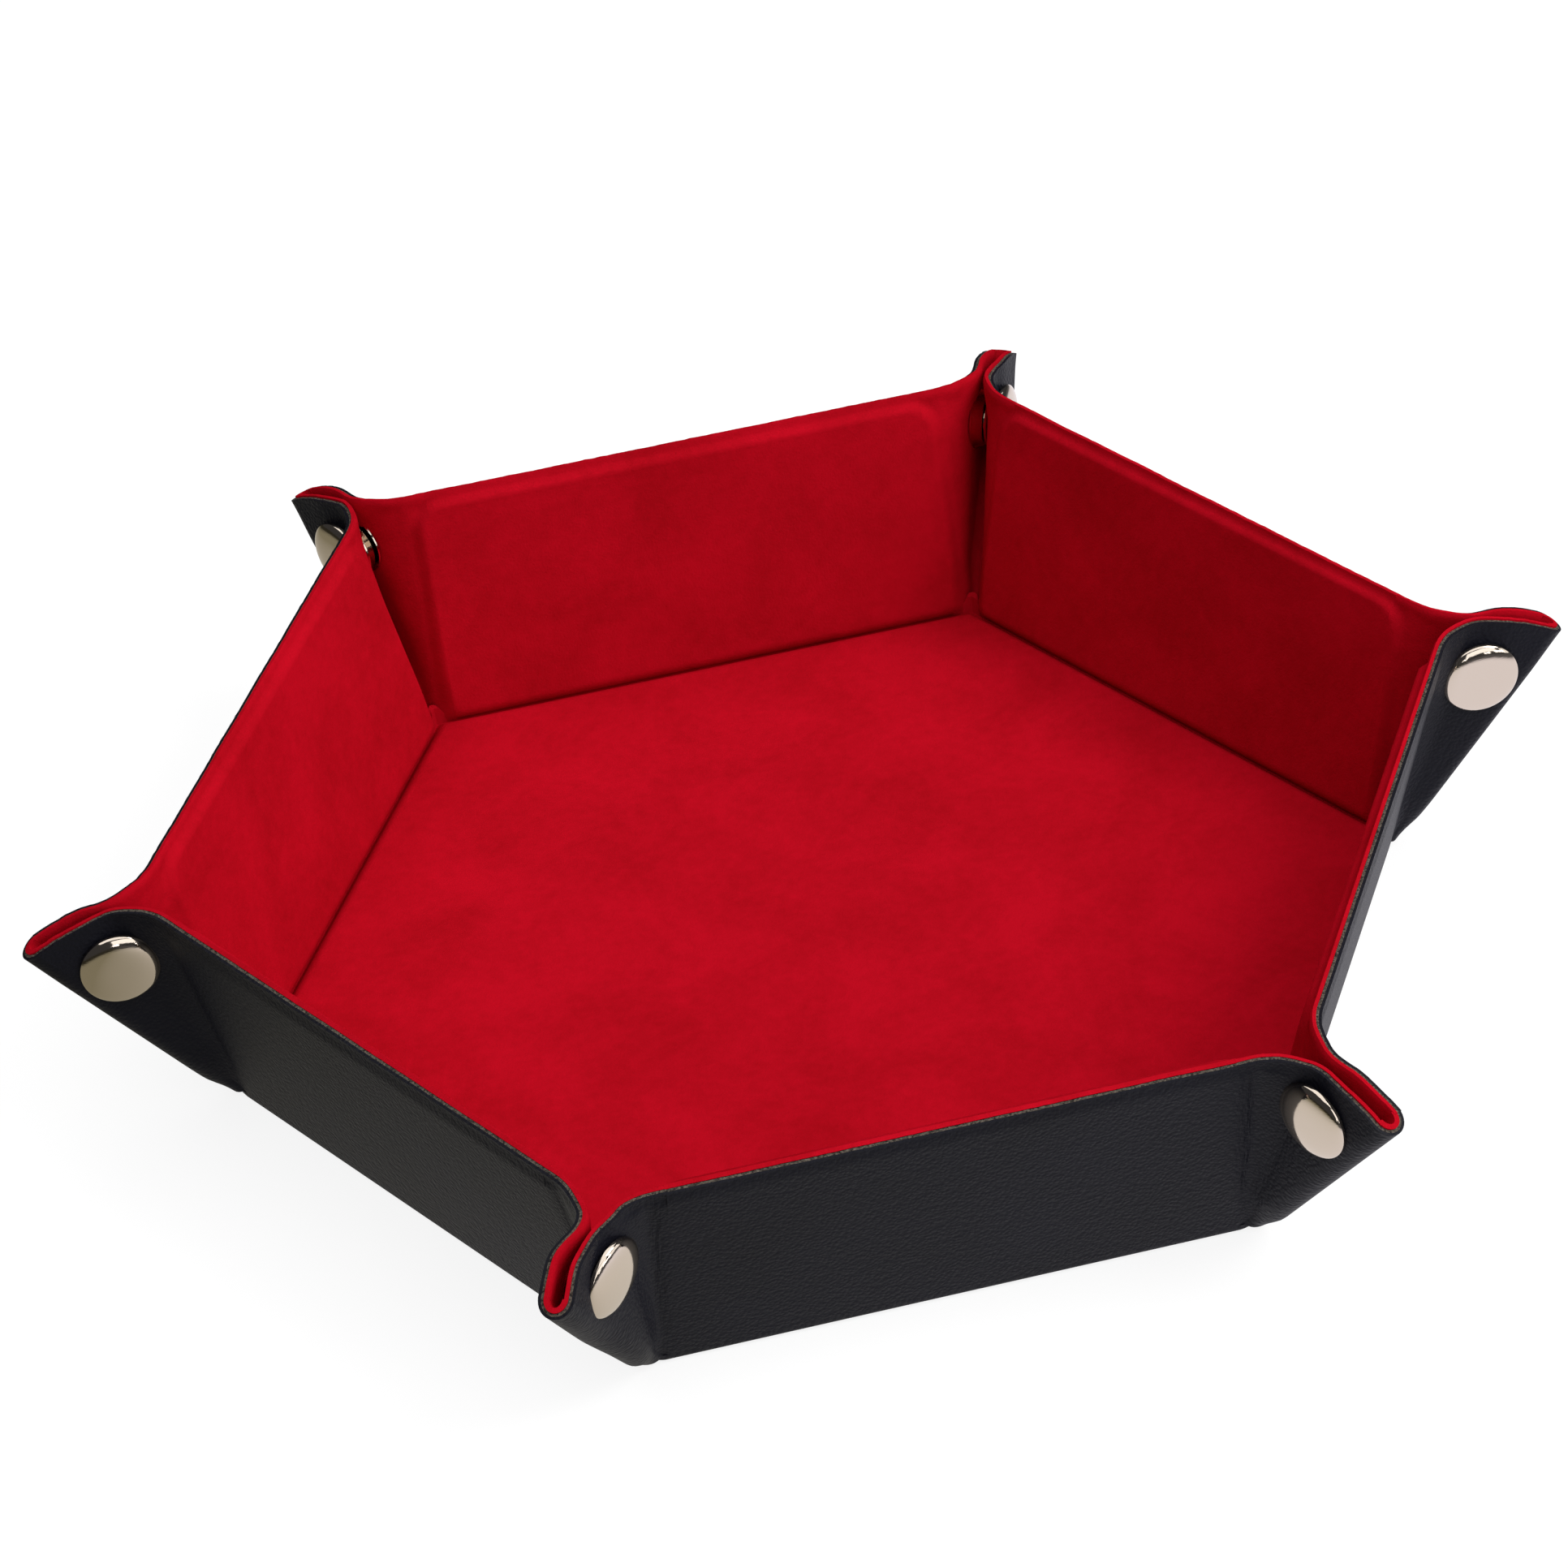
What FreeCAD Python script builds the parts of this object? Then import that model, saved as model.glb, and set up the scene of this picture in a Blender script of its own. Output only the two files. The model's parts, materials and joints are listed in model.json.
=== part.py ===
import FreeCAD, Part
import math
import os
import Sketcher

# Folding dice tray: a six-sided blank of synthetic leather with a velvet lining.  A stiff
# board sits between the two under the floor and in each of the six walls.  At each corner
# two flaps, one from each neighbouring wall, are pinched together and held by a press stud.
# The tray stands folded up.  Lengths are millimetres and angles are degrees.
#
# Each panel has a frame of its own: X along its fold, Y away from the fold, Z towards the
# lining, with the middle of the leather at Z = 0.  The folds turn about that middle.

CORNERS = 6
TURN = 360 / CORNERS
WALL_NAMES = ["front_left", "front", "front_right", "back_right", "back", "back_left"]
FIRST_WALL_FACES = 210  # plan direction in which the first wall looks outwards
UPRIGHT = FreeCAD.Vector(0, 0, 1)
SOCKET_SIDE, STUD_SIDE = 1, -1  # the end of a wall, along its own X, that each half is on

SIZES = [
    ("fold_side", 95.0, "one side of the hexagon that the floor folds make"),
    ("wall_slant", 42.73, "wall from its fold to its top edge"),
    ("wall_angle", 76.5, "wall from the ground, folded up"),
    ("blank_corner", 25.0, "radius of the flat blank's rounded corners"),
    ("leather", 0.9, "leather thickness"),
    ("lining", 0.8, "lining thickness"),
    ("board", 1.5, "board thickness"),
    ("pinch_gap", 2.8, "between the linings of two flaps that are snapped together"),
    ("leather_gap", 0.6, "leather edge behind a fold line"),
    ("lining_gap", 1.15, "lining edge behind a floor fold line"),
    ("flap_lining_gap", 0.15, "lining edge beside a flap fold line"),
    ("floor_board_inset", 3.5, "floor board edge behind the fold line"),
    ("wall_board_start", 3.5, "wall board edge above the fold line"),
    ("wall_board_end", 39.9, "wall board top above the fold line"),
    ("wall_board_width", 87.4, "wall board along the fold"),
    ("board_corner", 4.0, "board corner radius"),
    ("flap_start", 1.5, "flap lower edge above the floor fold line"),
    ("diagonal_gap", 0.3, "flap edge beside the crease that it shares with its partner"),
    ("snap_along", 34.1, "press stud centre along the flap fold line"),
    ("snap_out", 7.2, "press stud centre out from the flap fold line"),
    ("snap_hole", 1.7, "radius of the hole for the press stud's post"),
    ("cap_radius", 6.25, "cap"),
    ("cap_rim", 0.4, "height of the cap's straight rim"),
    ("cap_rise", 1.5, "height of the cap's dome"),
    ("cap_wall", 0.35, "cap sheet thickness"),
    ("post_flange", 5.0, "radius of the post's flange inside the cap"),
    ("post_outer", 1.5, "radius of the post"),
    ("post_bore", 1.1, "radius of the hole down the post"),
    ("post_head", 1.9, "radius of the post's rolled head"),
    ("metal", 0.25, "thickness of the pressed floor under the post's head"),
    ("socket_outer", 5.2, "radius of the socket's foot"),
    ("socket_top", 4.3, "radius of the socket's top"),
    ("socket_height", 2.0, "height of the socket above the lining"),
    ("socket_mouth", 2.8, "radius of the socket's mouth"),
    ("groove_outer", 3.5, "radius of the groove that holds the spring ring"),
    ("groove_low", 0.75, "groove's lower face above the lining"),
    ("groove_high", 1.45, "groove's upper face above the lining"),
    ("ring_radius", 3.05, "spring ring, middle of the wire"),
    ("ring_wire", 0.25, "radius of the spring ring's wire"),
    ("ring_sweep", 325.0, "angle that the open spring ring covers"),
    ("stud_flange", 4.9, "radius of the stud's flange"),
    ("stud_neck", 2.25, "radius of the stud's neck"),
    ("stud_ball", 2.5, "radius of the stud's bulged head"),
    ("stud_bore", 1.95, "radius of the hollow in the stud"),
    ("stud_height", 2.1, "height of the stud above the lining"),
]

doc = FreeCAD.newDocument("FoldingDiceTray")
sheet = doc.addObject("Spreadsheet::Sheet", "Sizes")
for row, (alias, number, note) in enumerate(SIZES, start=1):
    sheet.set(f"A{row}", alias)
    sheet.set(f"B{row}", str(number))
    sheet.set(f"C{row}", note)
    sheet.setAlias(f"B{row}", alias)
doc.recompute()

# Lengths that several sub-parts share, written as expressions on the sheet.
HALF_LEATHER = "(Sizes.leather / 2)"
APOTHEM = "(Sizes.fold_side * cos(30))"
LEAN = "atan(tan(30) * cos(Sizes.wall_angle))"  # flap fold line, from the wall's own Y
PINCH_OFFSET = f"(Sizes.pinch_gap / 2 + Sizes.lining + {HALF_LEATHER})"
FLAP_FOLD = f"(Sizes.fold_side / 2 - {PINCH_OFFSET} / cos(30))"  # its place on the wall's X
LINING_FACE = f"({HALF_LEATHER} + Sizes.lining)"


def value(expression):
    """The number that an expression on the sheet gives now."""
    return float(sheet.evalExpression(expression))


def new_body(label):
    body = doc.addObject("PartDesign::Body", label)
    body.Label = label
    return body


def origin_plane(body, role):
    return next(item for item in body.Origin.OriginFeatures if item.Role == role)


def bind(sketch, kind, name, vertex, expression):
    """Hold one vertex at a distance from the sketch's origin, as the expression gives it."""
    number = sketch.addConstraint(Sketcher.Constraint(kind, -1, 1, *vertex, value(expression)))
    sketch.renameConstraint(number, name)
    sketch.setExpression(f"Constraints.{name}", expression)


def outline(body, name, corners, plane="XY_Plane", base="0"):
    """A closed outline through corners, each (x, y) or (x, y, centre) as expressions.

    A corner with a centre is reached from the one before it by an arc about that centre.
    """
    sketch = body.newObject("Sketcher::SketchObject", name)
    sketch.AttachmentSupport = (origin_plane(body, plane), "")
    sketch.MapMode = "FlatFace"
    sketch.setExpression("AttachmentOffset.Base.z", base)
    points = [FreeCAD.Vector(value(c[0]), value(c[1]), 0) for c in corners]
    count = len(corners)
    ends = []
    for index in range(count):
        here, there = points[index], points[(index + 1) % count]
        target = corners[(index + 1) % count]
        if len(target) == 2:
            sketch.addGeometry(Part.LineSegment(here, there))
            ends.append((1, 2))
            continue
        centre = FreeCAD.Vector(value(target[2][0]), value(target[2][1]), 0)
        angles = [math.atan2(p.y - centre.y, p.x - centre.x) for p in (here, there)]
        circle = Part.Circle(centre, UPRIGHT, (here - centre).Length)
        leftward = math.sin(angles[1] - angles[0]) > 0
        start, stop = angles if leftward else angles[::-1]
        if stop < start:
            stop += 2 * math.pi
        sketch.addGeometry(Part.ArcOfCircle(circle, start, stop))
        ends.append((1, 2) if leftward else (2, 1))
    for index in range(count):
        following = (index + 1) % count
        sketch.addConstraint(
            Sketcher.Constraint("Coincident", index, ends[index][1], following, ends[following][0]))
    for index, corner in enumerate(corners):
        first = ends[index][0]
        hold_across = hold_up = True
        if len(corner) == 3:
            # The arc's radius already fixes its end in one direction.
            centre_x, centre_y = corner[2]
            from_centre = points[index] - FreeCAD.Vector(value(centre_x), value(centre_y), 0)
            hold_across = abs(from_centre.y) > abs(from_centre.x)
            hold_up = not hold_across
            arc = (index - 1) % count
            bind(sketch, "DistanceX", f"centre_x{index}", (arc, 3), centre_x)
            bind(sketch, "DistanceY", f"centre_y{index}", (arc, 3), centre_y)
        if hold_across:
            bind(sketch, "DistanceX", f"x{index}", (index, first), corner[0])
        if hold_up:
            bind(sketch, "DistanceY", f"y{index}", (index, first), corner[1])
    return sketch


def pad(body, sketch, length, both_ways=False):
    feature = body.newObject("PartDesign::Pad", sketch.Name + "Pad")
    feature.Profile = sketch
    if both_ways:
        feature.SideType = "Symmetric"
    feature.setExpression("Length", length)
    return feature


def pocket_upwards(body, sketch, length):
    feature = body.newObject("PartDesign::Pocket", sketch.Name + "Pocket")
    feature.Profile = sketch
    feature.Reversed = True
    feature.setExpression("Length", length)
    return feature


def nose(body, plane, start, length):
    """The rounded edge of a leather panel, along the middle of its fold.

    The rod runs along the normal of the body's given plane.
    """
    rod = body.newObject("PartDesign::AdditiveCylinder", body.Name + "Nose")
    rod.AttachmentSupport = (origin_plane(body, plane), "")
    rod.MapMode = "FlatFace"
    rod.setExpression("Radius", HALF_LEATHER)
    rod.setExpression("Height", length)
    rod.setExpression("AttachmentOffset.Base.z", start)
    return rod


def hexagon(apothem):
    """Corners of a hexagon with two sides square to Y."""
    radius = f"(({apothem}) / cos(30))"
    return [(f"{radius} * cos({TURN * k})", f"{radius} * sin({TURN * k})") for k in range(CORNERS)]


def rounded_rectangle(half_width, low, high, radius):
    """Corners of an upright rectangle centred on the Y axis, with rounded corners."""
    inner, bottom, top = f"({half_width} - {radius})", f"({low} + {radius})", f"({high} - {radius})"
    return [
        (f"-{inner}", low), (inner, low),
        (half_width, bottom, (inner, bottom)), (half_width, top),
        (inner, high, (inner, top)), (f"-{inner}", high),
        (f"-({half_width})", top, (f"-{inner}", top)), (f"-({half_width})", bottom),
        (f"-{inner}", low, (f"-{inner}", bottom)),
    ]


def wall_board_outline(grown):
    """The wall board's outline, made larger all round by an expression."""
    corners = rounded_rectangle(
        f"(Sizes.wall_board_width / 2 + {grown})", f"(Sizes.wall_board_start - {grown})",
        f"(Sizes.wall_board_end + {grown})", f"(Sizes.board_corner + {grown})")
    return corners[:-1]


def floor_leather():
    body = new_body("floor_leather")
    pad(body, outline(body, "FloorLeather", hexagon(f"{APOTHEM} - Sizes.leather_gap")),
        "Sizes.leather", both_ways=True)
    return body


def floor_board():
    body = new_body("floor_board")
    corners = hexagon(f"{APOTHEM} - Sizes.floor_board_inset")
    pad(body, outline(body, "FloorBoard", corners, base=HALF_LEATHER), "Sizes.board")
    return body


def floor_lining():
    """The velvet over the floor board: a thin margin, and a raised field over the board."""
    body = new_body("floor_lining")
    margin = outline(body, "FloorMargin", hexagon(f"{APOTHEM} - Sizes.lining_gap"), base=HALF_LEATHER)
    pad(body, margin, "Sizes.lining")
    over_board = f"{APOTHEM} - Sizes.floor_board_inset + Sizes.lining"
    raised = outline(body, "FloorField", hexagon(over_board), base=HALF_LEATHER)
    pad(body, raised, "Sizes.lining + Sizes.board")
    under = hexagon(f"{APOTHEM} - Sizes.floor_board_inset")
    pocket_upwards(body, outline(body, "FloorHollow", under, base=HALF_LEATHER), "Sizes.board")
    return body


def wall_panel(start, setback):
    """Corners of a wall between its two flap fold lines, from start up to the top edge."""
    def edge(height):
        return f"({FLAP_FOLD} + {height} * tan({LEAN}) - {setback} / cos({LEAN}))"

    low, high = edge(start), edge("Sizes.wall_slant")
    top = "Sizes.wall_slant"
    return [(f"-{low}", start), (low, start), (high, top), (f"-{high}", top)]


def wall_leather(name):
    body = new_body(f"{name}_wall_leather")
    pad(body, outline(body, f"{name}_leather", wall_panel("0", "Sizes.leather_gap")),
        "Sizes.leather", both_ways=True)
    half = f"({FLAP_FOLD} - Sizes.leather_gap / cos({LEAN}))"
    nose(body, "YZ_Plane", f"-{half}", f"2 * {half}")
    return body


def wall_board(name):
    body = new_body(f"{name}_wall_board")
    board = outline(body, f"{name}_board", wall_board_outline("0"), base=HALF_LEATHER)
    pad(body, board, "Sizes.board")
    return body


def wall_lining(name):
    """The velvet over a wall board, made like the floor's."""
    body = new_body(f"{name}_wall_lining")
    margin = wall_panel("Sizes.lining_gap", "Sizes.flap_lining_gap")
    pad(body, outline(body, f"{name}_margin", margin, base=HALF_LEATHER), "Sizes.lining")
    raised = outline(body, f"{name}_field", wall_board_outline("Sizes.lining"), base=HALF_LEATHER)
    pad(body, raised, "Sizes.lining + Sizes.board")
    hollow = outline(body, f"{name}_hollow", wall_board_outline("0"), base=HALF_LEATHER)
    pocket_upwards(body, hollow, "Sizes.board")
    return body


def flap_point(side, across, up):
    """A point given along and up the wall, in the frame of the flap at that end of it."""
    reach = f"({across} - {FLAP_FOLD})"
    return (f"{side} * ({reach} * cos({LEAN}) - {up} * sin({LEAN}))",
            f"({reach} * sin({LEAN}) + {up} * cos({LEAN}))")


def flap_outline(side, setback):
    """Corners of a flap: fold line, lower edge, diagonal crease, rounded corner, top edge."""
    # The rounded corner's centre lies on the diagonal, this far from the floor corner.
    reach = "(Sizes.wall_slant / cos(30) - Sizes.blank_corner / cos(30))"
    arc = "sqrt(Sizes.blank_corner ^ 2 - Sizes.diagonal_gap ^ 2)"
    half, gap = "(Sizes.fold_side / 2)", "Sizes.diagonal_gap"
    low_reach = f"({half} + Sizes.flap_start * tan(30) - {gap} / cos(30))"
    low = flap_point(side, low_reach, "Sizes.flap_start")
    centre = flap_point(side, f"({half} + {reach} * sin(30))", f"({reach} * cos(30))")
    tip = flap_point(side, f"({half} + ({reach} + {arc}) * sin(30) - {gap} * cos(30))",
                     f"(({reach} + {arc}) * cos(30) + {gap} * sin(30))")
    crest = flap_point(side, f"({half} + {reach} * sin(30))", "Sizes.wall_slant")
    inset = f"{side} * {setback}"
    return [
        (inset, f"(Sizes.flap_start / cos({LEAN}) + {setback} * tan({LEAN}))"), low, tip,
        (crest[0], crest[1], centre),
        (inset, f"(Sizes.wall_slant / cos({LEAN}) + {setback} * tan({LEAN}))"),
    ]


def post_hole(body, side):
    """The hole that the press stud's post goes through."""
    hole = body.newObject("PartDesign::SubtractiveCylinder", body.Name + "Hole")
    hole.AttachmentSupport = (origin_plane(body, "XY_Plane"), "")
    hole.MapMode = "FlatFace"
    hole.setExpression("Radius", "Sizes.snap_hole")
    hole.setExpression("Height", "4 * (Sizes.leather + Sizes.lining)")
    hole.setExpression("AttachmentOffset.Base.x", f"{side} * Sizes.snap_out")
    hole.setExpression("AttachmentOffset.Base.y", "Sizes.snap_along")
    hole.setExpression("AttachmentOffset.Base.z", "-2 * (Sizes.leather + Sizes.lining)")


def flap_leather(label, side):
    body = new_body(f"{label}_leather")
    pad(body, outline(body, f"{label}_skin", flap_outline(side, "0")), "Sizes.leather", both_ways=True)
    low, high = f"(Sizes.flap_start / cos({LEAN}) + 0.1)", f"(Sizes.wall_slant / cos({LEAN}) - 0.1)"
    # The body's XZ plane looks along -Y, so the rod is set back from the top of the fold.
    nose(body, "XZ_Plane", f"-{high}", f"{high} - {low}")
    post_hole(body, side)
    return body


def flap_lining(label, side):
    body = new_body(f"{label}_lining")
    corners = flap_outline(side, "Sizes.flap_lining_gap")
    pad(body, outline(body, f"{label}_velvet", corners, base=HALF_LEATHER), "Sizes.lining")
    post_hole(body, side)
    return body


def turned(label, corners):
    """A pressed metal piece, turned about Z from its (radius, height) outline."""
    body = new_body(label)
    sketch = outline(body, f"{label}_profile", corners, plane="XZ_Plane")
    turn = body.newObject("PartDesign::Revolution", f"{label}_turn")
    turn.Profile = sketch
    turn.ReferenceAxis = (sketch, ["V_Axis"])
    turn.Angle = 360
    return body


def above_lining(height):
    return f"({LINING_FACE} + {height})"


def snap_cap():
    """A domed cap with a short straight rim that beds on the leather."""
    rim_top = f"(-{HALF_LEATHER} - Sizes.cap_rim)"
    radius = "((Sizes.cap_radius ^ 2 + Sizes.cap_rise ^ 2) / (2 * Sizes.cap_rise))"
    centre_height = f"({rim_top} - Sizes.cap_rise + {radius})"
    inner, inner_radius = "(Sizes.cap_radius - Sizes.cap_wall)", f"({radius} - Sizes.cap_wall)"
    centre = ("0", centre_height)
    return turned("snap_cap", [
        ("0", f"({centre_height} - {radius})"),
        ("Sizes.cap_radius", rim_top, centre),
        ("Sizes.cap_radius", f"-{HALF_LEATHER}"),
        (inner, f"-{HALF_LEATHER}"),
        (inner, f"({centre_height} - sqrt({inner_radius} ^ 2 - {inner} ^ 2))"),
        ("0", f"({centre_height} - {inner_radius})", centre),
    ])


def snap_post():
    """The post that holds a cap on: a flange under the cap and a head rolled over inside."""
    flange = f"(-{HALF_LEATHER} - Sizes.cap_wall)"
    seat, head = above_lining("Sizes.metal"), above_lining("2 * Sizes.metal")
    return turned("snap_post", [
        ("Sizes.post_bore", flange), ("Sizes.post_flange", flange),
        ("Sizes.post_flange", f"-{HALF_LEATHER}"), ("Sizes.post_outer", f"-{HALF_LEATHER}"),
        ("Sizes.post_outer", seat), ("Sizes.post_head", seat),
        ("Sizes.post_head", head), ("Sizes.post_bore", head),
    ])


def snap_socket():
    foot, top = above_lining("2 * Sizes.metal"), above_lining("Sizes.socket_height")
    low, high = above_lining("Sizes.groove_low"), above_lining("Sizes.groove_high")
    floor = above_lining("Sizes.metal")
    return turned("snap_socket", [
        ("Sizes.post_outer + 0.05", LINING_FACE), ("Sizes.socket_outer", LINING_FACE),
        ("Sizes.socket_outer", foot), ("Sizes.socket_top", top), ("Sizes.socket_mouth", top),
        ("Sizes.socket_mouth", high), ("Sizes.groove_outer", high), ("Sizes.groove_outer", low),
        ("Sizes.socket_mouth", low), ("Sizes.socket_mouth", floor), ("Sizes.post_outer + 0.05", floor),
    ])


def snap_ring():
    """The open spring ring that lies in the socket's groove."""
    ring = doc.addObject("Part::Torus", "snap_ring")
    ring.Label = "snap_ring"
    ring.setExpression("Radius1", "Sizes.ring_radius")
    ring.setExpression("Radius2", "Sizes.ring_wire")
    ring.setExpression("Angle3", "Sizes.ring_sweep")
    ring.setExpression("Placement.Base.z", above_lining("(Sizes.groove_low + Sizes.groove_high) / 2"))
    return ring


def snap_stud():
    flange, top = above_lining("0.4"), above_lining("Sizes.stud_height")
    floor = above_lining("Sizes.metal")
    return turned("snap_stud", [
        ("Sizes.post_outer + 0.05", LINING_FACE), ("Sizes.stud_flange", LINING_FACE),
        ("Sizes.stud_flange", flange), ("Sizes.stud_neck", flange),
        ("Sizes.stud_neck", above_lining("Sizes.stud_height / 2")),
        ("Sizes.stud_ball", above_lining("Sizes.stud_height / 2 + 0.3")),
        ("Sizes.stud_ball", above_lining("Sizes.stud_height - 0.25")),
        ("Sizes.stud_neck", top), ("Sizes.stud_bore", top),
        ("Sizes.stud_bore", floor), ("Sizes.post_outer + 0.05", floor),
    ])


def snap_half(label, pieces):
    """One half of a press stud: its separate pieces, kept together as one sub-part."""
    half = doc.addObject("Part::Compound", label)
    half.Label = label
    half.Links = pieces
    return half


def turn_about(axis, angle):
    return FreeCAD.Placement(FreeCAD.Vector(), FreeCAD.Rotation(axis, angle))


def shift(x, y, z):
    return FreeCAD.Placement(FreeCAD.Vector(x, y, z), FreeCAD.Rotation())


def wall_place(number):
    """Where a wall's own frame stands with the wall folded up."""
    facing = FIRST_WALL_FACES + TURN * number
    out = value(APOTHEM)
    x, y = out * math.cos(math.radians(facing)), out * math.sin(math.radians(facing))
    return (shift(x, y, value(HALF_LEATHER)) * turn_about(UPRIGHT, facing - 90)
            * turn_about(FreeCAD.Vector(1, 0, 0), value("Sizes.wall_angle")))


def flap_place(wall, side):
    """Where a flap's frame stands: turned out until it is square across the corner."""
    fold_angle = math.degrees(math.acos(0.5 * math.sin(math.radians(value("Sizes.wall_angle")))))
    return (wall * shift(side * value(FLAP_FOLD), 0, 0)
            * turn_about(UPRIGHT, -side * value(LEAN))
            * turn_about(FreeCAD.Vector(0, 1, 0), side * fold_angle))


def build_tray():
    """Every sub-part, in place."""
    parts = []

    def place(part, placement):
        part.Placement = placement
        parts.append(part)

    cap, post, socket, ring, stud = snap_cap(), snap_post(), snap_socket(), snap_ring(), snap_stud()
    floor = shift(0, 0, value(HALF_LEATHER))
    for part in (floor_leather(), floor_board(), floor_lining()):
        place(part, floor)
    for number, name in enumerate(WALL_NAMES):
        wall = wall_place(number)
        for part in (wall_leather(name), wall_board(name), wall_lining(name)):
            place(part, wall)
        for side, kind, pieces in ((SOCKET_SIDE, "socket", [cap, post, socket, ring]),
                                   (STUD_SIDE, "stud", [cap, post, stud])):
            flap = flap_place(wall, side)
            label = f"{name}_{kind}_flap"
            place(flap_leather(label, side), flap)
            place(flap_lining(label, side), flap)
            centre = shift(side * value("Sizes.snap_out"), value("Sizes.snap_along"), 0)
            place(snap_half(f"{name}_snap_{kind}", pieces), flap * centre)
    return parts


def check(parts):
    """Stop if any object failed or any sub-part has no sound solid."""
    for item in doc.Objects:
        if "Invalid" in item.State or "Error" in item.State:
            raise RuntimeError(f"{item.Label} failed: {item.State}")
    for part in parts:
        if part.Shape.isNull() or not part.Shape.isValid() or not part.Shape.Solids:
            raise RuntimeError(f"{part.Label} has no valid solid")


tray = build_tray()
doc.recompute()
check(tray)
os.makedirs("parts", exist_ok=True)
for part in tray:
    part.Shape.exportStep(f"parts/{part.Label}.step")
print(len(tray), "sub-parts written")
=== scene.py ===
import json
import math

import bmesh
import bpy
import numpy as np
from mathutils import Matrix, Vector, noise


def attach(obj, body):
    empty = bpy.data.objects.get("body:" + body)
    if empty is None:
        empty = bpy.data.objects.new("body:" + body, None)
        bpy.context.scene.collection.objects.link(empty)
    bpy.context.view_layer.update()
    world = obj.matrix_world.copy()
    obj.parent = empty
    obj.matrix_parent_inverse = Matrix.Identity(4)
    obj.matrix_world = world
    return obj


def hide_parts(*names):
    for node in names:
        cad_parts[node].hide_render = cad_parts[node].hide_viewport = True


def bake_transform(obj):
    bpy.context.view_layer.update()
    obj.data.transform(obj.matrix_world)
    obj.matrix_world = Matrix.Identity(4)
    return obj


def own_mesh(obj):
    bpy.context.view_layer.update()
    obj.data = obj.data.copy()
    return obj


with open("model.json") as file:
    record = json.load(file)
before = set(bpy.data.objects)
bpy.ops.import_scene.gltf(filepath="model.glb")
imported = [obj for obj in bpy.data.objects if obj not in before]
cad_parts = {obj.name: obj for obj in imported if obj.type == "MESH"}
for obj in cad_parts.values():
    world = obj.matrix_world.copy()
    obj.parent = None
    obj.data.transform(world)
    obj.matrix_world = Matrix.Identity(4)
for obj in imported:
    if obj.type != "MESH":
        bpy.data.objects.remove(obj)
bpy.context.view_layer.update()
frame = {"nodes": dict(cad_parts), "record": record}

# Folding dice tray: black leathercloth outside, red velvet inside, boards between the two,
# and a press stud through the pinched flaps at each corner.  Shapes are worked out in
# millimetres, in the frame of the flat blank, and written to the meshes in metres.
#
# On each wall's panel, U runs along the floor fold, V up the wall and W from the leather
# (negative) towards the velvet.  The middle of the leather is at W = 0.

MM = 0.001
WALLS = ["front_left", "front", "front_right", "back_right", "back", "back_left"]
SIDES = {"socket": 1, "stud": -1}  # the end of the wall, along U, with each half of a press stud

COS_30 = math.cos(math.radians(30))
TAN_30 = math.tan(math.radians(30))

FOLD_SIDE = 95.0
APOTHEM = FOLD_SIDE * COS_30
WALL_SLANT = 42.73
BLANK_CORNER = 25.0  # radius of the blank's rounded corners
LEATHER = 0.9
SKIN = 0.45  # the black skin of the leathercloth; the rest is its knitted backing
VELVET = 0.8
BOARD = 1.5
PINCH_GAP = 2.8
BOARD_INSET = 3.5
BOARD_TOP = 39.9
BOARD_HALF_WIDTH = 43.7
BOARD_CORNER = 4.0
HALF_LEATHER = LEATHER / 2
VELVET_BACK = HALF_LEATHER + 0.02
VELVET_FACE = HALF_LEATHER + VELVET
PINCH_OFFSET = PINCH_GAP / 2 + VELVET + HALF_LEATHER  # leather's middle to the corner's middle
FLAP_FOLD = FOLD_SIDE / 2 - PINCH_OFFSET / COS_30

FOLD_BAND = 1.5  # half width of the strip that bends between floor and wall
FOLD_RADIUS = 1.0  # bend of the leather's middle at the floor fold
SEAM = 42.5  # where a wall's stiff panel ends and its flap's cloth begins
LIP_START = 3.1  # where the fold of a corner begins, from the diagonal crease
STUD_ACROSS, STUD_ALONG = 7.2, 34.1  # the press stud's centre on its flap

STRIP_END_LIFT = 0.9  # how far the ends of the fold strips rise into a corner's foot
VELVET_WEB = 2.6  # how far the strip's velvet reaches up there, to close the corner's foot
LIP_FOOT = {"velvet": -0.5, "leather": -0.06}  # where a corner's fold starts along its crease
LIP_FOOT_RISE = 1.2  # and how much higher it starts at the corner's middle
LIP_SHORT = 0.3  # how far the leathercloth stops short of the velvet's edge at the corners' tips
LEATHER_SHORT = {"back_right": 0.6, "back": 0.6, "back_left": 0.4, "front_right": 0.35}

# How far the cut edge stands below the blank's outline: along a wall, and at a corner's tip,
# where corner k is at the end of wall k with the socket.
WALL_DROP = {"front": 1.5, "front_left": 0.3, "back_right": 0.5, "back": 0.2}
CORNER_DROP = [0.9, 0.5, 1.4, 0.3, 0.3, 0.3]

# Corners whose pair of flaps sways to one side, with its share: (wall, end of the wall).
SWAY = {("front", 1): 1.0, ("front_left", -1): -1.0}


def metres(points):
    return np.asarray(points, float) * MM


def smooth(low, high, x):
    """0 below low, 1 above high, with an even ease between."""
    part = np.clip((np.asarray(x, float) - low) / (high - low), 0, 1)
    return part * part * (3 - 2 * part)


# ---------------------------------------------------------------- places from the frame

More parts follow.
